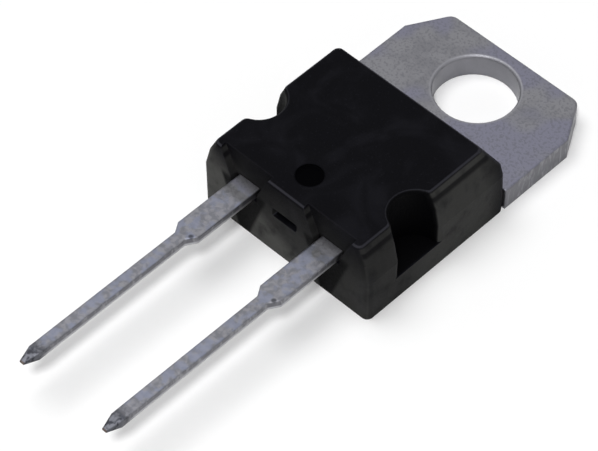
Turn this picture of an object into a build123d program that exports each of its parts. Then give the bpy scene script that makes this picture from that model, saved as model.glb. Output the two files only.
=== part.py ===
from build123d import *
from math import cos, pi, sin, sqrt
import os

# A two-lead power rectifier diode in a moulded package with a screw-down metal tab.
# Millimetres. The origin is on the axis of the mounting hole, in the plane of the metal back.
# +Z points up out of the package face, +Y from the leads to the tab, +X across the leads.

# Width that the tab and the moulded body share
package_width = 10.2

# Tab and heat spreader, the thick part of the lead frame
tab_thickness = 1.27
tab_exposed_length = 6.35
hole_diameter = 4.06
hole_to_tab_end = 2.72
tab_corner_cut_across = 1.2
tab_corner_cut_along = 2.08
tab_corner_radius = 0.5
tab_edge_radius = 0.1
hole_rim_chamfer = 0.08
spreader_side_cover = 0.9
spreader_to_body_front = 2.87
spreader_corner_radius = 0.5
lock_ledge_width = 0.3
lock_ledge_height = 0.5
lock_groove_width = 0.5
lock_groove_depth = 0.22
lock_groove_to_body_back = 1.45

# Leads, the thin part of the lead frame
lead_pitch = 5.08
lead_thickness = 0.46
lead_to_body_top = 1.5
lead_width = 0.64
lead_length = 13.42
shoulder_width = 1.27
shoulder_length = 3.45
shoulder_taper = 0.5
tip_length = 0.75
tip_width = 0.24
tip_thickness = 0.16
lead_edge_radius = 0.06

# Ends of the leads inside the moulding
bond_post_width = 2.2
bond_post_length = 1.4
bond_post_cover = 0.35
bond_post_radius = 0.2
joggle_width = 1.6
joggle_bend_radius = 0.3
joggle_rise_length = 0.95
joggle_run_out = 0.25

# Moulded body, whose two halves part in the plane of the leads' underside, bevelled round its top
body_length = 9.07
body_height = 4.5
side_bevel_height = 0.95
side_bevel_foot_inset = 0.24
side_bevel_top_inset = 0.69
back_bevel_height = 1.5
back_bevel_foot_inset = 0.12
back_bevel_top_inset = 1.04
top_front_inset = 0.05
base_side_inset = 0.02
base_front_inset = 0.03
front_corner_radius = 0.33
back_corner_radius = 0.35
top_edge_radius = 0.2

# Features moulded into the body
notch_radius = 1.23
notch_axis_inset = 0.3
notch_to_body_front = 3.3
notch_floor_cover = 0.18
notch_lip_radius = 0.32
relief_gap = 0.18
relief_depth = 0.4
relief_top_width = 2.95
slot_width = 1.5
slot_height = 0.5
slot_depth = 0.45
slot_corner_radius = 0.12
pin_mark_diameter = 1.3
pin_mark_depth = 0.12
pin_mark_to_body_front = 1.6

# Rectifier chip, its solder and its bond wires
chip_size = 2.8
chip_thickness = 0.28
chip_to_spreader_end = 2.45
solder_margin = 0.15
solder_thickness = 0.06
wire_diameter = 0.38
wire_spacing = 0.8
wire_cover = 0.46
wire_loop_runs = 5
wire_foot_length = 0.7
wire_foot_width = 0.5
wire_foot_height = 0.22

# Places that follow from the sizes
body_back_y = hole_to_tab_end - tab_exposed_length
body_front_y = body_back_y - body_length
body_middle_y = body_front_y + body_length / 2
spreader_end_y = body_front_y + spreader_to_body_front
spreader_length = body_back_y - spreader_end_y
spreader_width = package_width - 2 * spreader_side_cover
cathode_x = -lead_pitch / 2
anode_x = lead_pitch / 2
lead_top = body_height - lead_to_body_top
lead_height = lead_top - lead_thickness
lead_middle = lead_top - lead_thickness / 2
shoulder_end_y = body_front_y - shoulder_length
lead_end_y = body_front_y - lead_length
post_front_y = body_front_y + relief_depth + bond_post_cover
post_y = post_front_y + bond_post_length / 2
joggle_foot_y = spreader_end_y - lock_ledge_width - joggle_run_out
joggle_foot_height = tab_thickness - lead_thickness / 2
notch_x = package_width / 2 - notch_axis_inset
notch_y = body_front_y + notch_to_body_front
notch_floor_height = tab_thickness + notch_floor_cover
relief_foot_width = shoulder_width + 2 * relief_gap
chip_y = spreader_end_y + chip_to_spreader_end
chip_top = tab_thickness + solder_thickness + chip_thickness

# Share of its length by which an edge rises if it is to count as upright
upright_share = 0.6

os.makedirs("parts", exist_ok=True)


def save(part, name):
    """Labels a finished piece and writes it to its own file."""
    part.label = name
    export_step(part, f"parts/{name}.step")


def mirrored(side):
    """A closed outline from its right-hand side, listed in order as (x, y) points."""
    return side + [(-x, y) for x, y in reversed(side)]


# The lead that both terminals share: wide shoulders, a narrow pin and a tip thinned like a chisel.
with BuildPart() as stamped_lead:
    with BuildSketch(Plane.XY.offset(lead_height)):
        Polygon(
            *mirrored([
                (shoulder_width / 2, post_y),
                (shoulder_width / 2, shoulder_end_y),
                (lead_width / 2, shoulder_end_y - shoulder_taper),
                (lead_width / 2, lead_end_y + tip_length),
                (tip_width / 2, lead_end_y),
            ]),
            align=None,
        )
    extrude(amount=lead_thickness)

    # Each coining cut starts flush with its face and goes on past the end at the same slope.
    for face, outward in ((lead_top, 1), (lead_height, -1)):
        thinning = outward * (lead_thickness - tip_thickness) / 2
        with BuildSketch(Plane.YZ):
            Polygon(
                (lead_end_y + tip_length, face),
                (lead_end_y - tip_length, face - 2 * thinning),
                (lead_end_y - tip_length, face + thinning),
                (lead_end_y + tip_length, face + thinning),
                align=None,
            )
        extrude(amount=shoulder_width, both=True, mode=Mode.SUBTRACT)

    # The stamped edges outside the moulding are slightly rolled over.
    outside = edges().filter_by(lambda edge: edge.center().Y < body_front_y)
    fillet(outside.filter_by(Axis.Z, reverse=True), lead_edge_radius)

# Anode lead: a flat pin whose inner end widens to the post that takes the bond wires.
with BuildPart() as anode_lead:
    with Locations((anode_x, 0)):
        add(stamped_lead.part)
    with BuildSketch(Plane.XY.offset(lead_height)):
        with Locations((anode_x, post_y)):
            RectangleRounded(bond_post_width, bond_post_length, bond_post_radius)
    extrude(amount=lead_thickness)
save(anode_lead.part, "anode_lead")

# Cathode frame: the other lead, the spreader under the chip and the tab, stamped as one piece.
with BuildPart() as cathode_frame:
    with Locations((cathode_x, 0)):
        add(stamped_lead.part)

    # The strip steps down inside the moulding from the lead to the spreader.
    with BuildSketch(Plane.YZ.offset(cathode_x)):
        with BuildLine():
            FilletPolyline(
                (post_front_y, lead_middle),
                (joggle_foot_y - joggle_rise_length, lead_middle),
                (joggle_foot_y, joggle_foot_height),
                (spreader_end_y, joggle_foot_height),
                radius=joggle_bend_radius,
            )
        trace(line_width=lead_thickness)
    extrude(amount=joggle_width / 2, both=True)

    # The spreader, and the ledge round its upper half that keys it into the plastic.
    ledge_size = (spreader_width + 2 * lock_ledge_width, spreader_length + lock_ledge_width)
    ledge_foot = tab_thickness - lock_ledge_height
    for (width, length), foot in (((spreader_width, spreader_length), 0), (ledge_size, ledge_foot)):
        with BuildSketch(Plane.XY.offset(foot)):
            with Locations((0, body_back_y - length / 2)):
                Rectangle(width, length)
            fillet(vertices().group_by(Axis.Y)[0], spreader_corner_radius)
        extrude(amount=tab_thickness - foot)

    # The tab beyond the moulding: far corners cut off, edges rolled over, hole lightly countersunk.
    with BuildSketch():
        Polygon(
            *mirrored([
                (package_width / 2, body_back_y),
                (package_width / 2, hole_to_tab_end - tab_corner_cut_along),
                (package_width / 2 - tab_corner_cut_across, hole_to_tab_end),
            ]),
            align=None,
        )
        fillet(vertices().group_by(Axis.Y)[-1], tab_corner_radius)
    extrude(amount=tab_thickness)
    exposed = edges().filter_by(lambda edge: edge.center().Y > body_back_y)
    fillet(exposed.filter_by_position(Axis.Z, tab_thickness, tab_thickness), tab_edge_radius)
    with Locations((0, 0, tab_thickness)):
        CounterSinkHole(hole_diameter / 2, hole_diameter / 2 + hole_rim_chamfer, depth=tab_thickness)

    # A groove coined across the spreader keeps the back end of the moulding from lifting.
    with BuildSketch(Plane.YZ):
        with Locations((body_back_y - lock_groove_to_body_back, tab_thickness)):
            Polygon(
                (-lock_groove_width / 2, 0),
                (0, -lock_groove_depth),
                (lock_groove_width / 2, 0),
                align=None,
            )
    extrude(amount=package_width, both=True, mode=Mode.SUBTRACT)
save(cathode_frame.part, "cathode_frame")

# Solder layer that joins the chip to the spreader.
with BuildPart() as chip_solder:
    with BuildSketch(Plane.XY.offset(tab_thickness)):
        with Locations((0, chip_y)):
            solder_size = chip_size + 2 * solder_margin
            RectangleRounded(solder_size, solder_size, solder_margin)
    extrude(amount=solder_thickness)
save(chip_solder.part, "chip_solder")

# Silicon chip, sawn square.
with BuildPart() as rectifier_chip:
    with BuildSketch(Plane.XY.offset(tab_thickness + solder_thickness)):
        with Locations((0, chip_y)):
            Rectangle(chip_size, chip_size)
    extrude(amount=chip_thickness)
save(rectifier_chip.part, "rectifier_chip")

# Aluminium bond wires, looped from pressed feet on the chip to pressed feet on the anode post.
wire_run = Vector(anode_x, post_y) - Vector(0, chip_y)
wire_across = wire_run.normalized().cross(Vector(0, 0, 1))
foot_rise = lead_top - chip_top
loop_height = body_height - wire_cover - wire_diameter / 2 - chip_top - wire_foot_height
loop_bulge = sqrt(loop_height * (loop_height - foot_rise))
loop_turns = [pi * step / wire_loop_runs for step in range(wire_loop_runs + 1)]
loop_points = [
    (
        wire_run.length * (1 - cos(turn)) / 2,
        wire_foot_height + foot_rise * (1 - cos(turn)) / 2 + loop_bulge * sin(turn),
    )
    for turn in loop_turns
]
inserts = [cathode_frame, anode_lead, chip_solder, rectifier_chip]
for wire_name, side in (("bond_wire_inner", -1), ("bond_wire_outer", 1)):
    chip_foot = Vector(0, chip_y, chip_top) + wire_across * side * wire_spacing / 2
    post_foot = chip_foot + wire_run + Vector(0, 0, foot_rise)
    with BuildPart() as bond_wire:
        with BuildLine(Plane(chip_foot, x_dir=wire_run, z_dir=wire_across)) as loop:
            Polyline(*loop_points)
        with BuildSketch(Plane(loop.line @ 0, z_dir=loop.line % 0)):
            Circle(wire_diameter / 2)
        sweep(path=loop.line, transition=Transition.RIGHT)
        for foot in (chip_foot, post_foot):
            with BuildSketch(Plane(foot, x_dir=wire_run)):
                SlotOverall(wire_foot_length, wire_foot_width)
            extrude(amount=wire_foot_height)
    save(bond_wire.part, wire_name)
    inserts.append(bond_wire)


def upright_edges():
    """The edges of the part being made that stand up, straight or leaning."""
    return edges().filter_by(lambda edge: abs(edge.tangent_at(0.5).Z) > upright_share)


# Moulded body: both halves lean in from the parting plane, and bevels lead up to the flat top.
with BuildPart() as moulded_body:
    with BuildSketch(Plane.YZ):
        Polygon(
            (body_front_y + base_front_inset, 0),
            (body_front_y, lead_height),
            (body_front_y + top_front_inset, body_height),
            (body_back_y - back_bevel_top_inset, body_height),
            (body_back_y - back_bevel_foot_inset, body_height - back_bevel_height),
            (body_back_y, tab_thickness),
            (body_back_y, 0),
            align=None,
        )
    extrude(amount=package_width / 2, both=True)
    with BuildSketch(Plane.XZ):
        Polygon(
            *mirrored([
                (package_width / 2 - base_side_inset, 0),
                (package_width / 2, lead_height),
                (package_width / 2 - side_bevel_foot_inset, body_height - side_bevel_height),
                (package_width / 2 - side_bevel_top_inset, body_height),
            ]),
            align=None,
        )
    extrude(amount=-body_front_y, mode=Mode.INTERSECT)
    front_corners = upright_edges().filter_by(lambda edge: edge.center().Y < body_middle_y)
    fillet(front_corners, front_corner_radius)
    back_corners = upright_edges().filter_by(lambda edge: edge.center().Y > body_middle_y)
    fillet(back_corners.filter_by(lambda edge: edge.center().Z > tab_thickness), back_corner_radius)

    # Half-round grooves down both sides, open at the top and floored above the spreader.
    with BuildSketch(Plane.XY.offset(notch_floor_height)):
        with Locations((-notch_x, notch_y), (notch_x, notch_y)):
            Circle(notch_radius)
    extrude(amount=body_height, mode=Mode.SUBTRACT)
    notch_reach = notch_radius + notch_lip_radius
    lips = upright_edges().filter_by(lambda edge: abs(edge.center().Y - notch_y) < notch_reach)
    fillet(lips, notch_lip_radius)

    # One rounding runs right round the flat top and the mouths of the grooves.
    fillet(faces().sort_by(Axis.Z)[-1].edges(), top_edge_radius)

    # Flared reliefs over the leads, open at the top so that the mould can lift off.
    with BuildSketch(Plane.XZ.offset(-body_front_y - relief_depth)):
        with Locations((cathode_x, 0), (anode_x, 0)):
            Polygon(
                *mirrored([
                    (relief_foot_width / 2, lead_height),
                    (relief_foot_width / 2, lead_top),
                    (relief_top_width / 2, body_height),
                ]),
                align=None,
            )
    extrude(amount=body_length, mode=Mode.SUBTRACT)

    # The pocket left by the trimmed middle lead, and the mark of the ejector pin.
    with BuildSketch(Plane.XZ.offset(-body_front_y - slot_depth)):
        with Locations((0, lead_middle)):
            RectangleRounded(slot_width, slot_height, slot_corner_radius)
    extrude(amount=body_length, mode=Mode.SUBTRACT)
    with BuildSketch(Plane.XY.offset(body_height - pin_mark_depth)):
        with Locations((0, body_front_y + pin_mark_to_body_front)):
            Circle(pin_mark_diameter / 2)
    extrude(amount=body_height, mode=Mode.SUBTRACT)

    # The plastic is moulded round the frame, the lead, the chip and the wires.
    for insert in inserts:
        add(insert.part, mode=Mode.SUBTRACT)
save(moulded_body.part, "moulded_body")
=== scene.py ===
import math

import bpy
from bpy.props import FloatProperty, FloatVectorProperty, PointerProperty
from bpy.types import Operator, Panel, PropertyGroup
from mathutils import Matrix, Vector


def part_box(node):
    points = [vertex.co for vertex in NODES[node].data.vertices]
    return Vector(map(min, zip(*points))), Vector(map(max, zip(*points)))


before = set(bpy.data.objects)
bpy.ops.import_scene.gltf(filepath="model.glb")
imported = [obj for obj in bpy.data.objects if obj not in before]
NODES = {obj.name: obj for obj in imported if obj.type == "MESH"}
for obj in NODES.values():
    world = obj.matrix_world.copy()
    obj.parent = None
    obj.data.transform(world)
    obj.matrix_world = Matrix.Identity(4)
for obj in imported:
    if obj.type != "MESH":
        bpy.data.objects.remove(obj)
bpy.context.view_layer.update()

# Finishes and studio for a two-lead power rectifier diode. Metres, in the part's own frame:
# the origin is on the axis of the mounting hole, in the plane of the metal back, +Z points up
# out of the package face and +Y from the leads to the tab.

bl_info = {
    "name": "Rectifier diode finishes",
    "version": (1, 0, 0),
    "blender": (4, 5, 0),
    "location": "3D View > Sidebar > Diode",
    "description": "Moulding compound, tin plate, silicon and aluminium for a power rectifier "
    "diode, with its studio floor, lamps and camera",
    "category": "Object",
}

MM = 0.001

# Places on the part that the finishes need, in millimetres, read from the frame
BODY_LOW, BODY_HIGH = (Vector(corner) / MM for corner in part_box("moulded_body"))
LEAD_LOW, LEAD_HIGH = (Vector(corner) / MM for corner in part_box("anode_lead"))
BODY_FRONT = BODY_LOW.y
LEAD_AXIS = (LEAD_LOW.x + LEAD_HIGH.x) / 2
SHOULDER_LENGTH = 3.45
PIN_MARK_TO_FRONT = 1.6
PIN_MARK_RADIUS = 0.65
NOTCH_AXIS = BODY_HIGH.x - 0.3
NOTCH_Y = BODY_FRONT + 3.3
NOTCH_RADIUS = 1.23
HOLE_RADIUS = 2.03

# Directions on the part, and settings that several nodes share
ACROSS = (1, 0, 0)
ALONG = (0, 1, 0)
UP = (0, 0, 1)
LEVEL = (1, 1, 0)
SMOOTH = {"interpolation_type": "SMOOTHSTEP"}
TIMES = {"operation": "MULTIPLY"}
LARGER = {"operation": "MAXIMUM"}


def linear(hex_colour):
    """The linear colour of an sRGB hex value, such as "#808080"."""
    shares = [int(hex_colour[i:i + 2], 16) / 255 for i in (1, 3, 5)]
    return [s / 12.92 if s <= 0.04045 else ((s + 0.055) / 1.055) ** 2.4 for s in shares]


def colour_property(name, description, hex_colour):
    """A colour that the panel shows, with its default given as a hex value."""
    return FloatVectorProperty(
        name=name,
        description=description,
        subtype="COLOR",
        size=3,
        min=0.0,
        max=1.0,
        default=linear(hex_colour),
    )


def length_property(name, description, millimetres):
    """A length that the panel shows, with its default given in millimetres."""
    return FloatProperty(
        name=name,
        description=description,
        unit="LENGTH",
        min=0.0,
        precision=5,
        default=millimetres * MM,
    )


def share_property(name, description, share):
    """A light level that the panel shows, where 1 is white."""
    return FloatProperty(name=name, description=description, min=0.0, default=share)


class DiodeMouldingSettings(PropertyGroup):
    """Colours and sizes of the black moulding compound."""

    colour: colour_property("Compound", "Black epoxy between its filler grains", "#060609")
    flow_colour: colour_property("Flow marks", "Paler streaks where the resin met", "#101014")
    filler_colour: colour_property("Filler", "Silica grains that reach the surface", "#1b1b20")
    # Paler grey for the front and sides: partly wax bloom, partly painted reflection of the floor.
    bloom_and_reflection_colour: colour_property("Haze", "Grey bloom of mould wax", "#4d4d4b")
    # Near-black for the pin mark's polish, and painted shade in the notches and below the leads.
    polish_and_shade_colour: colour_property("Cored wall", "Compound moulded on a polished pin", "#020203")
    # Paler edges, part rubbing and part painted highlight, and a painted sheen on back faces.
    wear_and_highlight_colour: colour_property("Rubbed edges", "Compound rubbed paler on edges", "#35353b")
    grit: length_property("Mould grit", "Grain of the spark-eroded mould wall", 0.11)
    flow_size: length_property("Flow mark size", "Distance between flow marks", 2.4)
    # Distance between the blotches of bloom and painted reflection.
    bloom_and_reflection_size: length_property("Haze size", "Distance between patches of haze", 0.9)
    relief: length_property("Grit relief", "Height of the mould grain", 0.006)
    # Width of the edges' rubbing and painted highlight.
    wear_and_highlight_width: length_property("Rubbed width", "How far an edge is rubbed to each side", 0.12)


class DiodePlatingSettings(PropertyGroup):
    """Colours and sizes of the tin plate and the copper under it."""

    colour: colour_property("Tin", "Matt tin plate", "#76767a")
    dull_colour: colour_property("Dull tin", "Tin where handling has dulled it", "#58585d")
    cool_colour: colour_property("Cool tin", "Tin with a faint blue-violet oxide", "#6c6c7b")
    dipped_colour: colour_property("Dipped tin", "Brighter tin where the leads were dipped", "#7b7b80")
    wall_colour: colour_property("Sheared wall", "Tin over a punched wall", "#6a6a6f")
    score_colour: colour_property("Punch scores", "Bright lines down a sheared wall", "#9a9a9e")
    hole_colour: colour_property("Hole wall", "Dull tin inside the hole", "#808085")
    # Bright foot of the leads' sides: part burnish, part painted highlight.
    land_and_highlight_colour: colour_property("Burnished land", "Bright foot of a punched wall", "#acacb0")
    smudge_colour: colour_property("Lead smudges", "Handling marks on the leads", "#57585e")
    cold_colour: colour_property("Lead tarnish", "Bluish tarnish on the leads", "#727686")
    # A darker olive band on each lead, a little in front of the moulding.
    lead_band_colour: colour_property("Resin bleed", "Thin resin film beside the moulding", "#45443f")
    # Stains at the lead tips, and painted shade at the shoulders' ends.
    stain_and_shade_colour: colour_property("Nicks", "Dark nicks and stains from the trimming tool", "#2e2f34")
    copper_colour: colour_property("Cut copper", "Copper bared where the strip was cut", "#5e534e")
    crystal: length_property("Crystal size", "Grain of the plated tin", 0.13)
    patch: length_property("Patch size", "Distance between dull patches", 1.3)
    smudge: length_property("Smudge size", "Distance between smudges on the leads", 0.3)
    score: length_property("Score spacing", "Distance between the punch's lines", 0.24)
    relief: length_property("Grain relief", "Height of the tin grain", 0.006)
    edge: length_property("Edge roll", "How far the punch rolls an edge over", 0.12)


class DiodeChipSettings(PropertyGroup):
    """Colours of the pieces sealed inside the moulding."""

    silicon_colour: colour_property("Silicon", "Sawn sides of the chip", "#4a4d55")
    contact_colour: colour_property("Contact", "Aluminium contact on the chip", "#b9babd")
    solder_colour: colour_property("Solder", "Solder under the chip", "#9a9a98")
    wire_colour: colour_property("Bond wire", "Drawn aluminium wire", "#c2c3c6")
    street: length_property("Saw street", "Bare silicon round the contact", 0.18)
    saw_line: length_property("Saw line", "Distance between the saw's lines", 0.05)
    dendrite: length_property("Solder grain", "Size of the solder's grains", 0.12)
    draw_line: length_property("Draw line", "Distance between the die's lines on a wire", 0.04)


class DiodeStageSettings(PropertyGroup):
    """Floor, lamps and camera."""

    floor_colour: colour_property("Floor", "Matt white card", "#fafafa")
    floor_radius: length_property("Floor radius", "Radius of the round floor", 900)
    key_share: share_property("Key lamp", "Light of the key lamp on white card", 0.47)
    fill_share: share_property("Fill lamp", "Light of the fill lamp on white card", 0.51)
    wall_level: share_property("Walls", "Brightness of the studio's walls", 0.34)
    ceiling_level: share_property("Ceiling", "Brightness of the studio's ceiling", 0.1)


SETTINGS = {
    "diode_moulding": DiodeMouldingSettings,
    "diode_plating": DiodePlatingSettings,
    "diode_chip": DiodeChipSettings,
    "diode_stage": DiodeStageSettings,
}


def add(tree, kind, settings=None, links=None):
    """Adds a node. settings are its own values, and links its inputs: a socket or a value each."""
    node = tree.nodes.new(kind)
    for name, value in (settings or {}).items():
        setattr(node, name, value)
    for key, value in (links or {}).items():
        if isinstance(value, bpy.types.NodeSocket):
            tree.links.new(value, node.inputs[key])
        else:
            node.inputs[key].default_value = value
    return node


def new_material(name):
    """An empty node material, and its tree."""
    material = bpy.data.materials.new(name)
    material.use_nodes = True
    material.node_tree.nodes.clear()
    return material, material.node_tree


def millimetre_place(tree):
    """The surface point in millimetres, as a vector socket."""
    place = add(tree, "ShaderNodeTexCoord")
    return add(
        tree,
        "ShaderNodeVectorMath",
        {"operation": "SCALE"},
        {0: place.outputs["Object"], "Scale": 1 / MM},
    ).outputs["Vector"]


def rgba(colour):
    """A colour with full opacity."""
    return (*colour, 1.0)


def dress(node_name, material):
    """Gives a node of the part its material."""
    NODES[node_name].data.materials[0] = material


def blotches(tree, place, size, low, high, detail=2.0, distortion=0.0, stretch=(1, 1, 1)):
    """How far each point lies inside a blotch, 0 to 1.

    size is the distance between blotches. They are drawn out along the axes whose stretch is
    below 1.
    """
    drawn = add(tree, "ShaderNodeVectorMath", TIMES, {0: place, 1: stretch})
    cloud = add(
        tree,
        "ShaderNodeTexNoise",
        {},
        {
            "Vector": drawn.outputs["Vector"],
            "Scale": MM / size,
            "Detail": detail,
            "Distortion": distortion,
        },
    )
    return add(
        tree,
        "ShaderNodeMapRange",
        SMOOTH,
        {"Value": cloud.outputs["Fac"], "From Min": low, "From Max": high},
    ).outputs["Result"]


def zone(tree, place, way, start, end, least=0.0, most=1.0):
    """A share that goes from least to most between two distances along a direction."""
    reach = add(tree, "ShaderNodeVectorMath", {"operation": "DOT_PRODUCT"}, {0: place, 1: way})
    return add(
        tree,
        "ShaderNodeMapRange",
        SMOOTH,
        {
            "Value": reach.outputs["Value"],
            "From Min": start,
            "From Max": end,
            "To Min": least,
            "To Max": most,
        },
    ).outputs["Result"]


def round_spot(tree, place, middle, outer, inner, counted=(1, 1, 1)):
    """A share that rises from 0 at the outer radius round a point to 1 at the inner one.

    An axis that isn't counted makes the spot a column along that axis.
    """
    kept = add(tree, "ShaderNodeVectorMath", TIMES, {0: place, 1: counted})
    away = add(
        tree,
        "ShaderNodeVectorMath",
        {"operation": "DISTANCE"},
        {0: kept.outputs["Vector"], 1: middle},
    )
    return add(
        tree,
        "ShaderNodeMapRange",
        SMOOTH,
        {"Value": away.outputs["Value"], "From Min": outer, "From Max": inner},
    ).outputs["Result"]


def facing(tree, way, start, end):
    """A share that goes from 0 to 1 as the surface turns to or from a direction.

    start and end are cosines: 1 faces the direction, 0 stands across it and -1 faces away.
    """
    normal = add(tree, "ShaderNodeTexCoord").outputs["Normal"]
    return zone(tree, normal, way, start, end)


def edges(tree, width):
    """How near each point is to a sharp edge, 0 to 1, found from how a bevel would turn it."""
    turned = add(tree, "ShaderNodeBevel", {"samples": 6}, {"Radius": width})
    straight = add(tree, "ShaderNodeNewGeometry")
    match = add(
        tree,
        "ShaderNodeVectorMath",
        {"operation": "DOT_PRODUCT"},
        {0: turned.outputs["Normal"], 1: straight.outputs["Normal"]},
    )
    return add(
        tree,
        "ShaderNodeMapRange",
        SMOOTH,
        {"Value": match.outputs["Value"], "From Min": 0.99, "From Max": 0.88},
    ).outputs["Result"]


def paint(tree, under, colour, *shares):
    """Lays a colour over what is under it, where all the shares hold at once."""
    share = shares[0]
    for other in shares[1:]:
        share = add(tree, "ShaderNodeMath", TIMES, {0: share, 1: other}).outputs[0]
    return add(
        tree, "ShaderNodeMix", {"data_type": "RGBA"}, {"Factor": share, 6: under, 7: rgba(colour)}
    ).outputs[2]


def moulding_compound(settings):
    """Transfer-moulded epoxy filled with silica, black with carbon.

    The eye sees a near-black, dry-looking skin: a fine spark-eroded grain breaks up every
    reflection and faint paler marks show where the resin flowed together. Olive-grey is
    painted in blotches low on the walls, partly bloom of mould wax and partly painted
    reflection of the floor. Painted highlights lie on the rounded rim, a painted sheen on the
    faces turned to the back, and painted shade darkens the notches' walls and a wedge below
    each lead. The disc left by the pin that pushed the package out of the mould is smoother
    and darker.
    """
    material, tree = new_material("moulded_black_epoxy")
    place = millimetre_place(tree)
    top = BODY_HIGH.z
    grit = add(
        tree,
        "ShaderNodeTexNoise",
        {},
        # Real mould grain is about 0.03 mm. It is drawn nearly four times as coarse to show.
        {"Vector": place, "Scale": MM / settings.grit, "Detail": 2.0, "Roughness": 0.6},
    )
    filler = add(
        tree,
        "ShaderNodeMapRange",
        SMOOTH,
        {"Value": grit.outputs["Fac"], "From Min": 0.58, "From Max": 0.74, "To Max": 0.5},
    ).outputs["Result"]
    flow = blotches(tree, place, settings.flow_size, 0.42, 0.7, 3.0, 1.2)
    colour = paint(tree, rgba(settings.colour), settings.flow_colour, flow)
    colour = paint(tree, colour, settings.filler_colour, filler)

    # Olive-grey on the front, partly wax bloom and partly painted reflection of the floor, is thickest
    # low down on the cathode side.
    bloom = blotches(tree, place, settings.bloom_and_reflection_size, 0.05, 0.55, 4.0)
    front = facing(tree, ALONG, -0.5, -0.8)
    thick = zone(tree, place, (0.5, 0, 1), 2.4, 0.4, most=0.8)
    thin = zone(tree, place, UP, 1.1 * top, 0.3 * top, most=0.3)
    layer = add(tree, "ShaderNodeMath", LARGER, {0: thick, 1: thin}).outputs[0]
    colour = paint(tree, colour, settings.bloom_and_reflection_colour, front, layer, bloom)
    # On the sides the same bloom and painted reflection thins out towards both ends and stops at a dark
    # line under the top edge.
    right_side = facing(tree, ACROSS, 0.5, 0.8)
    left_side = facing(tree, ACROSS, -0.5, -0.8)
    side = add(tree, "ShaderNodeMath", LARGER, {0: right_side, 1: left_side}).outputs[0]
    behind_notch = zone(
        tree, place, ALONG, NOTCH_Y - NOTCH_RADIUS, NOTCH_Y + NOTCH_RADIUS, least=0.25, most=0.45
    )
    before_back = zone(tree, place, ALONG, BODY_HIGH.y, BODY_HIGH.y - 1.6)
    under_top = zone(tree, place, UP, top - 0.06, top - 0.18)
    colour = paint(
        tree, colour, settings.bloom_and_reflection_colour, side, behind_notch, before_back, under_top, bloom
    )
    line_top = zone(tree, place, UP, top - 0.32, top - 0.42)
    line_foot = zone(tree, place, UP, top - 0.7, top - 0.52)
    colour = paint(tree, colour, settings.colour, side, line_top, line_foot, 0.8)

    # A painted highlight lies on the rounded rim of the top, and the sharp edges of the pockets are a
    # little paler, part rubbing and part painted highlight.
    rim_foot = facing(tree, UP, 0.55, 0.7)
    rim_top = facing(tree, UP, 0.98, 0.88)
    colour = paint(tree, colour, settings.wear_and_highlight_colour, rim_foot, rim_top, 0.6)
    colour = paint(tree, colour, settings.wear_and_highlight_colour, edges(tree, settings.wear_and_highlight_width), 0.12)
    # A painted sheen lightens the faces that turn towards the back.
    colour = paint(tree, colour, settings.wear_and_highlight_colour, facing(tree, ALONG, 0.4, 0.7), 0.4)

    # The notches' walls are painted near-black: painted shade inside the notches.
    for hand in (-1, 1):
        middle = (hand * NOTCH_AXIS, NOTCH_Y, 0)
        notch_shade = round_spot(tree, place, middle, 1.12 * NOTCH_RADIUS, 1.04 * NOTCH_RADIUS, LEVEL)
        inward = zone(tree, place, (hand, 0, 0), BODY_HIGH.x - 0.05, BODY_HIGH.x - 0.13)
        colour = paint(tree, colour, settings.polish_and_shade_colour, notch_shade, inward)
    # A painted shadow darkens the wall below each lead, in a wedge that widens towards the lead.
    low = zone(tree, place, UP, LEAD_HIGH.z + 0.2, LEAD_HIGH.z - 0.2)
    for axis in (-LEAD_AXIS, LEAD_AXIS):
        right = zone(tree, place, (1, 0, -0.35), axis + 0.45, axis + 0.2)
        left = zone(tree, place, (-1, 0, -0.35), 0.45 - axis, 0.2 - axis)
        colour = paint(tree, colour, settings.polish_and_shade_colour, front, low, right, left, 0.95)
    pin_mark = (0, BODY_FRONT + PIN_MARK_TO_FRONT, top)
    polish = round_spot(tree, place, pin_mark, 1.15 * PIN_MARK_RADIUS, 0.95 * PIN_MARK_RADIUS)
    colour = paint(tree, colour, settings.polish_and_shade_colour, polish)

    roughness = add(
        tree,
        "ShaderNodeMapRange",
        {},
        {"Value": grit.outputs["Fac"], "From Min": 0.3, "From Max": 0.7, "To Min": 0.52, "To Max": 0.66},
    )
    gloss = add(
        tree,
        "ShaderNodeMapRange",
        {},
        {"Value": polish, "To Min": 0.03, "To Max": 0.006},
    )
    bump = add(
        tree,
        "ShaderNodeBump",
        {},
        {"Strength": 1.0, "Distance": settings.relief, "Height": grit.outputs["Fac"]},
    )
    shader = add(
        tree,
        "ShaderNodeBsdfPrincipled",
        {},
        {
            "Base Color": colour,
            "Roughness": roughness.outputs["Result"],
            "Specular IOR Level": gloss.outputs["Result"],
            "Normal": bump.outputs["Normal"],
        },
    )
    add(tree, "ShaderNodeOutputMaterial", {}, {"Surface": shader.outputs[0]})
    return material


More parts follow.
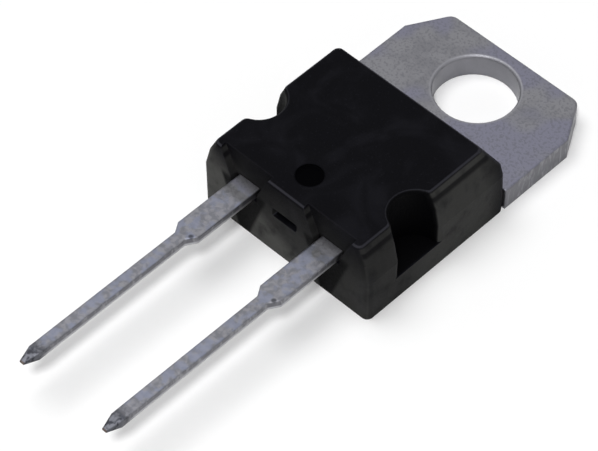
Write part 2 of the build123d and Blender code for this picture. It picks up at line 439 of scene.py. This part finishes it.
def tin_plate(settings):
    """Matt tin electroplated on stamped copper strip.

    The eye sees a soft grey metal, blotched with violet-grey oxide, with fine dark specks
    between its crystals. The leads carry darker smudges from handling, a bluish tarnish, and
    a darker olive band a little in front of the moulding. Sheared walls are duller, with
    bright upright lines from the punch, and the foot of each lead's sides is a bright line,
    part burnish and part painted highlight. Painted shade darkens a spot at the end of each
    shoulder, and the cut ends show dull copper.
    """
    material, tree = new_material("matt_tin_on_stamped_copper")
    place = millimetre_place(tree)
    crystals = add(
        tree,
        "ShaderNodeTexNoise",
        {},
        # Real tin crystals are about 0.01 mm. They are drawn much coarser so that they show.
        {"Vector": place, "Scale": MM / settings.crystal, "Detail": 2.0},
    )
    grains = add(
        tree,
        "ShaderNodeMapRange",
        SMOOTH,
        {"Value": crystals.outputs["Fac"], "From Min": 0.5, "From Max": 0.62, "To Max": 0.45},
    ).outputs["Result"]
    dull = blotches(tree, place, settings.patch, 0.4, 0.62, 4.0)
    cool = blotches(tree, place, 2 * settings.patch, 0.45, 0.62, 1.0)
    colour = paint(tree, rgba(settings.colour), settings.dull_colour, dull, 0.45)
    colour = paint(tree, colour, settings.cool_colour, cool, 0.8)
    colour = paint(tree, colour, settings.dull_colour, grains)

    on_leads = zone(tree, place, ALONG, BODY_FRONT, BODY_FRONT - 0.3)
    smudge = blotches(tree, place, settings.smudge, 0.38, 0.62, 4.0, 0.4)
    cold = blotches(tree, place, 1.6 * settings.smudge, 0.45, 0.6, 3.0)
    colour = paint(tree, colour, settings.dipped_colour, on_leads, 0.9)
    colour = paint(tree, colour, settings.smudge_colour, on_leads, smudge, 0.6)
    colour = paint(tree, colour, settings.cold_colour, on_leads, cold, 0.7)
    # A darker olive band crosses each lead a little in front of the moulding.
    lead_band_start = zone(tree, place, ALONG, BODY_FRONT - 0.15, BODY_FRONT - 0.4)
    lead_band_end = zone(tree, place, ALONG, BODY_FRONT - 0.9, BODY_FRONT - 0.6)
    colour = paint(tree, colour, settings.lead_band_colour, lead_band_start, lead_band_end, 0.4)

    not_top = facing(tree, UP, 0.8, 0.4)
    not_back = facing(tree, UP, -0.8, -0.4)
    upright = add(tree, "ShaderNodeMath", TIMES, {0: not_top, 1: not_back}).outputs[0]
    # Real punch lines are about 0.05 mm apart. They are drawn coarser so that they show.
    scores = blotches(tree, place, settings.score, 0.45, 0.68, 3.0, 0.6, (1, 1, 0.3))
    colour = paint(tree, colour, settings.wall_colour, upright)
    # Each lead's sides end in a bright line at their foot, part burnish from the punch and part painted
    # highlight.
    foot = zone(tree, place, UP, LEAD_HIGH.z - 0.24, LEAD_HIGH.z - 0.34)
    colour = paint(tree, colour, settings.land_and_highlight_colour, upright, foot, on_leads)
    colour = paint(tree, colour, settings.score_colour, upright, scores, 0.55)
    in_hole = round_spot(tree, place, (0, 0, 0), 1.1 * HOLE_RADIUS, 1.04 * HOLE_RADIUS, LEVEL)
    colour = paint(tree, colour, settings.hole_colour, in_hole, 0.95)

    # Painted shade darkens a spot at the end of each shoulder, where the trimmed face lies in shadow.
    for axis in (-LEAD_AXIS, LEAD_AXIS):
        shoulder_spot = (axis + 0.38, BODY_FRONT - SHOULDER_LENGTH - 0.2, LEAD_HIGH.z)
        mark = round_spot(tree, place, shoulder_spot, 0.17, 0.06)
        colour = paint(tree, colour, settings.stain_and_shade_colour, mark, 0.8)
    # The tips are stained where they were trimmed, in blots rather than evenly.
    near_tip = zone(tree, place, ALONG, LEAD_LOW.y + 1.6, LEAD_LOW.y + 0.5)
    blots = blotches(tree, place, 0.7 * settings.smudge, 0.42, 0.6, 3.0)
    colour = paint(tree, colour, settings.smudge_colour, near_tip)
    colour = paint(tree, colour, settings.stain_and_shade_colour, near_tip, blots)
    cut = zone(tree, place, ALONG, LEAD_LOW.y + 0.06, LEAD_LOW.y + 0.02)
    colour = paint(tree, colour, settings.copper_colour, cut)

    roughness = add(
        tree,
        "ShaderNodeMapRange",
        {},
        {"Value": dull, "To Min": 0.4, "To Max": 0.5},
    )
    soft_edge = add(tree, "ShaderNodeBevel", {"samples": 6}, {"Radius": settings.edge})
    bump = add(
        tree,
        "ShaderNodeBump",
        {},
        {
            "Strength": 1.0,
            "Distance": settings.relief,
            "Height": crystals.outputs["Fac"],
            "Normal": soft_edge.outputs["Normal"],
        },
    )
    shader = add(
        tree,
        "ShaderNodeBsdfPrincipled",
        {},
        {
            "Base Color": colour,
            "Metallic": 1.0,
            "Roughness": roughness.outputs["Result"],
            "Normal": bump.outputs["Normal"],
        },
    )
    add(tree, "ShaderNodeOutputMaterial", {}, {"Surface": shader.outputs[0]})
    return material


def bare_metal(tree, colour, roughness, relief, height):
    """Ends a bare metal's material: its colour, its gloss and the height of a fine relief."""
    bump = add(tree, "ShaderNodeBump", {}, {"Strength": 0.6, "Distance": relief, "Height": height})
    shader = add(
        tree,
        "ShaderNodeBsdfPrincipled",
        {},
        {
            "Base Color": colour,
            "Metallic": 1.0,
            "Roughness": roughness,
            "Normal": bump.outputs["Normal"],
        },
    )
    add(tree, "ShaderNodeOutputMaterial", {}, {"Surface": shader.outputs[0]})


def sawn_silicon(settings):
    """Diffused silicon sawn from a wafer, with an evaporated aluminium contact on top.

    The eye sees dark blue-grey walls with level saw lines, and a pale frosted square
    inside a dark street.
    """
    material, tree = new_material("sawn_silicon_with_aluminium_contact")
    place = millimetre_place(tree)
    low, high = (Vector(corner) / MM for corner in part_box("rectifier_chip"))
    street = settings.street / MM
    # Real saw lines are about 0.01 mm apart. They are drawn coarser so that they show.
    lines = blotches(tree, place, settings.saw_line, 0.4, 0.6, stretch=(0.1, 0.1, 1))
    frost = blotches(tree, place, settings.saw_line, 0.3, 0.7)
    level = facing(tree, UP, 0.5, 0.9)
    inside = [
        zone(tree, place, ACROSS, low.x + street, low.x + 1.2 * street),
        zone(tree, place, ACROSS, high.x - street, high.x - 1.2 * street),
        zone(tree, place, ALONG, low.y + street, low.y + 1.2 * street),
        zone(tree, place, ALONG, high.y - street, high.y - 1.2 * street),
    ]
    dulled = [0.7 * c for c in settings.silicon_colour]
    colour = paint(tree, rgba(dulled), settings.silicon_colour, lines)
    colour = paint(tree, colour, settings.contact_colour, level, *inside)
    frosted = add(tree, "ShaderNodeMath", TIMES, {0: level, 1: frost}).outputs[0]
    roughness = add(tree, "ShaderNodeMapRange", {}, {"Value": frosted, "To Min": 0.22, "To Max": 0.5})
    bare_metal(tree, colour, roughness.outputs["Result"], 0.002 * MM, lines)
    return material


def reflowed_solder(settings):
    """Lead-rich solder reflowed between chip and spreader.

    The eye sees a dull silver fillet, grained where it froze.
    """
    material, tree = new_material("reflowed_solder")
    place = millimetre_place(tree)
    grains = blotches(tree, place, settings.dendrite, 0.35, 0.6, 3.0, 0.6)
    dulled = [0.6 * c for c in settings.solder_colour]
    colour = paint(tree, rgba(settings.solder_colour), dulled, grains)
    roughness = add(tree, "ShaderNodeMapRange", {}, {"Value": grains, "To Min": 0.28, "To Max": 0.48})
    bare_metal(tree, colour, roughness.outputs["Result"], 0.003 * MM, grains)
    return material


def drawn_aluminium(settings):
    """Heavy aluminium bond wire, drawn and then pressed flat by the bonding wedge.

    The eye sees a pale wire with fine lines along it, and a frosted foot at each end.
    """
    material, tree = new_material("drawn_aluminium_wire")
    place = millimetre_place(tree)
    # Real die lines are about 0.01 mm apart. They are drawn coarser so that they show.
    lines = blotches(tree, place, settings.draw_line, 0.4, 0.6, stretch=(1, 0.08, 1))
    frost = blotches(tree, place, settings.draw_line, 0.35, 0.65)
    pressed = facing(tree, UP, 0.85, 0.97)
    dulled = [0.75 * c for c in settings.wire_colour]
    colour = paint(tree, rgba(settings.wire_colour), dulled, lines)
    frosted = add(tree, "ShaderNodeMath", TIMES, {0: pressed, 1: frost}).outputs[0]
    roughness = add(tree, "ShaderNodeMapRange", {}, {"Value": frosted, "To Min": 0.25, "To Max": 0.5})
    bare_metal(tree, colour, roughness.outputs["Result"], 0.002 * MM, lines)
    return material


class DIODE_OT_mould_body(Operator):
    """Gives the moulded body its black epoxy"""

    bl_idname = "diode.mould_body"
    bl_label = "Moulded body"

    def execute(self, context):
        dress("moulded_body", moulding_compound(context.scene.diode_moulding))
        return {"FINISHED"}


class DIODE_OT_plate_frame(Operator):
    """Gives the tab and both leads their tin plate"""

    bl_idname = "diode.plate_frame"
    bl_label = "Tab and leads"

    def execute(self, context):
        tin = tin_plate(context.scene.diode_plating)
        dress("cathode_frame", tin)
        dress("anode_lead", tin)
        return {"FINISHED"}


class DIODE_OT_chip(Operator):
    """Gives the chip, its solder and its bond wires their finishes"""

    bl_idname = "diode.chip"
    bl_label = "Chip and bond wires"

    def execute(self, context):
        chip = context.scene.diode_chip
        dress("rectifier_chip", sawn_silicon(chip))
        dress("chip_solder", reflowed_solder(chip))
        wire = drawn_aluminium(chip)
        dress("bond_wire_inner", wire)
        dress("bond_wire_outer", wire)
        return {"FINISHED"}


def disc_floor(radius):
    """A round flat floor under the part."""
    mesh = bpy.data.meshes.new("floor")
    steps = 96
    rim = [
        (radius * math.cos(2 * math.pi * i / steps), radius * math.sin(2 * math.pi * i / steps), 0)
        for i in range(steps)
    ]
    mesh.from_pydata(rim, [], [tuple(range(steps))])
    floor = bpy.data.objects.new("floor", mesh)
    floor.location.z = -0.01 * MM
    bpy.context.scene.collection.objects.link(floor)
    return floor


def seen_rays(tree):
    """1 for the camera's rays and for those that metal or glass reflects or lets through."""
    path = add(tree, "ShaderNodeLightPath").outputs
    mirrored = add(
        tree,
        "ShaderNodeMath",
        LARGER,
        {0: path["Is Glossy Ray"], 1: path["Is Transmission Ray"]},
    ).outputs[0]
    return add(
        tree, "ShaderNodeMath", LARGER, {0: path["Is Camera Ray"], 1: mirrored}
    ).outputs[0]


def white_card(colour):
    """Matt white card that keeps the part's shadows and clears to white away from it."""
    material, tree = new_material("matt_white_card")
    place = millimetre_place(tree)
    # The card's fibres are about a quarter of a millimetre apart.
    fibres = add(tree, "ShaderNodeTexNoise", {}, {"Vector": place, "Scale": 1 / 0.25})
    shade = add(
        tree,
        "ShaderNodeMapRange",
        {},
        {"Value": fibres.outputs["Fac"], "To Min": 0.99, "To Max": 1.0},
    )
    tint = add(
        tree,
        "ShaderNodeVectorMath",
        {"operation": "SCALE"},
        {0: colour, "Scale": shade.outputs["Result"]},
    )
    card = add(tree, "ShaderNodeBsdfDiffuse", {}, {"Color": tint.outputs["Vector"]})
    # Far from the part the camera sees plain white, so that the floor meets the backdrop unseen.
    far = round_spot(tree, place, (0, 0, 0), 45, 160)
    cleared = add(tree, "ShaderNodeMath", TIMES, {0: seen_rays(tree), 1: far}).outputs[0]
    glow = add(tree, "ShaderNodeEmission", {}, {"Color": (1, 1, 1, 1), "Strength": 1.0})
    seen = add(
        tree, "ShaderNodeMixShader", {}, {0: cleared, 1: card.outputs[0], 2: glow.outputs[0]}
    )
    add(tree, "ShaderNodeOutputMaterial", {}, {"Surface": seen.outputs[0]})
    return material


def studio_world(wall_level, ceiling_level):
    """Pale walls and a dim ceiling for matt surfaces, and plain white for all that is seen."""
    world = bpy.data.worlds.new("studio")
    world.use_nodes = True
    tree = world.node_tree
    tree.nodes.clear()
    way = add(tree, "ShaderNodeTexCoord").outputs["Generated"]
    level = zone(tree, way, UP, 0.4, 0.65, least=wall_level, most=ceiling_level)
    light = add(
        tree, "ShaderNodeMix", {"data_type": "FLOAT"}, {"Factor": seen_rays(tree), 2: level, 3: 1.0}
    )
    glow = add(tree, "ShaderNodeBackground", {}, {"Color": (1, 1, 1, 1), "Strength": light.outputs[0]})
    add(tree, "ShaderNodeOutputWorld", {}, {"Surface": glow.outputs[0]})
    bpy.context.scene.world = world


def area_lamp(name, azimuth, elevation, distance, size, share):
    """A round soft lamp aimed at the part. share is how bright it makes white card below it."""
    a, e = math.radians(azimuth), math.radians(elevation)
    way = Vector((math.sin(a) * math.cos(e), -math.cos(a) * math.cos(e), math.sin(e)))
    lamp = bpy.data.lights.new(name, "AREA")
    lamp.shape = "DISK"
    lamp.size = size
    # A diffuse white surface at this distance then shows the share asked for.
    lamp.energy = share * (math.pi * distance) ** 2 / math.sin(e)
    holder = bpy.data.objects.new(name, lamp)
    middle = Vector((0, -0.009, 0.002))
    holder.location = middle + way * distance
    holder.rotation_mode = "QUATERNION"
    holder.rotation_quaternion = (-way).to_track_quat("-Z", "Y")
    holder.visible_camera = False
    bpy.context.scene.collection.objects.link(holder)


# The photograph's viewpoint, fitted to the edges of the tab, body and leads
CAMERA_AZIMUTH = 43.95
CAMERA_ELEVATION = 50.80
CAMERA_ROLL = 0.22
CAMERA_DISTANCE = 0.1467
CAMERA_LENS = 195.57
CAMERA_TARGET = Vector((-0.902, -10.83, 0.0)) * MM


def place_camera():
    """The camera at the photograph's viewpoint."""
    a, e = math.radians(CAMERA_AZIMUTH), math.radians(CAMERA_ELEVATION)
    back = Vector((math.sin(a) * math.cos(e), -math.cos(a) * math.cos(e), math.sin(e)))
    across = Vector((0, 0, 1)).cross(back).normalized()
    up = back.cross(across)
    roll = math.radians(CAMERA_ROLL)
    right = math.cos(roll) * across + math.sin(roll) * up
    top = -math.sin(roll) * across + math.cos(roll) * up
    lens = bpy.data.cameras.new("camera")
    lens.sensor_width = 36
    lens.lens = CAMERA_LENS
    lens.clip_start = 0.005
    lens.clip_end = 10
    camera = bpy.data.objects.new("camera", lens)
    place = CAMERA_TARGET + back * CAMERA_DISTANCE
    camera.matrix_world = Matrix.Translation(place) @ Matrix((right, top, back)).transposed().to_4x4()
    bpy.context.scene.collection.objects.link(camera)
    bpy.context.scene.camera = camera


class DIODE_OT_stage(Operator):
    """Sets up the floor, the lamps, the world and the camera"""

    bl_idname = "diode.stage"
    bl_label = "Stage"

    def execute(self, context):
        stage = context.scene.diode_stage
        floor = disc_floor(stage.floor_radius)
        floor.data.materials.append(white_card(stage.floor_colour))
        studio_world(stage.wall_level, stage.ceiling_level)
        area_lamp("key_lamp", 34, 58.5, 0.6, 0.1, stage.key_share)
        area_lamp("fill_lamp", -68, 73, 0.6, 0.44, stage.fill_share)
        place_camera()
        context.scene.view_settings.view_transform = "Standard"
        return {"FINISHED"}


class DIODE_PT_panel(Panel):
    """Lists the part's finishes and its stage"""

    bl_idname = "DIODE_PT_panel"
    bl_label = "Rectifier diode"
    bl_space_type = "VIEW_3D"
    bl_region_type = "UI"
    bl_category = "Diode"

    def draw(self, context):
        for operator, group in (
            (DIODE_OT_mould_body, "diode_moulding"),
            (DIODE_OT_plate_frame, "diode_plating"),
            (DIODE_OT_chip, "diode_chip"),
            (DIODE_OT_stage, "diode_stage"),
        ):
            box = self.layout.box()
            for name in SETTINGS[group].__annotations__:
                box.prop(getattr(context.scene, group), name)
            box.operator(operator.bl_idname)


CLASSES = (
    *SETTINGS.values(),
    DIODE_OT_mould_body,
    DIODE_OT_plate_frame,
    DIODE_OT_chip,
    DIODE_OT_stage,
    DIODE_PT_panel,
)


def register():
    for cls in CLASSES:
        bpy.utils.register_class(cls)
    for group, cls in SETTINGS.items():
        setattr(bpy.types.Scene, group, PointerProperty(type=cls))


def unregister():
    for group in SETTINGS:
        delattr(bpy.types.Scene, group)
    for cls in reversed(CLASSES):
        bpy.utils.unregister_class(cls)


def main():
    register()
    bpy.ops.diode.mould_body()
    bpy.ops.diode.plate_frame()
    bpy.ops.diode.chip()
    bpy.ops.diode.stage()


if __name__ == "__main__":
    main()
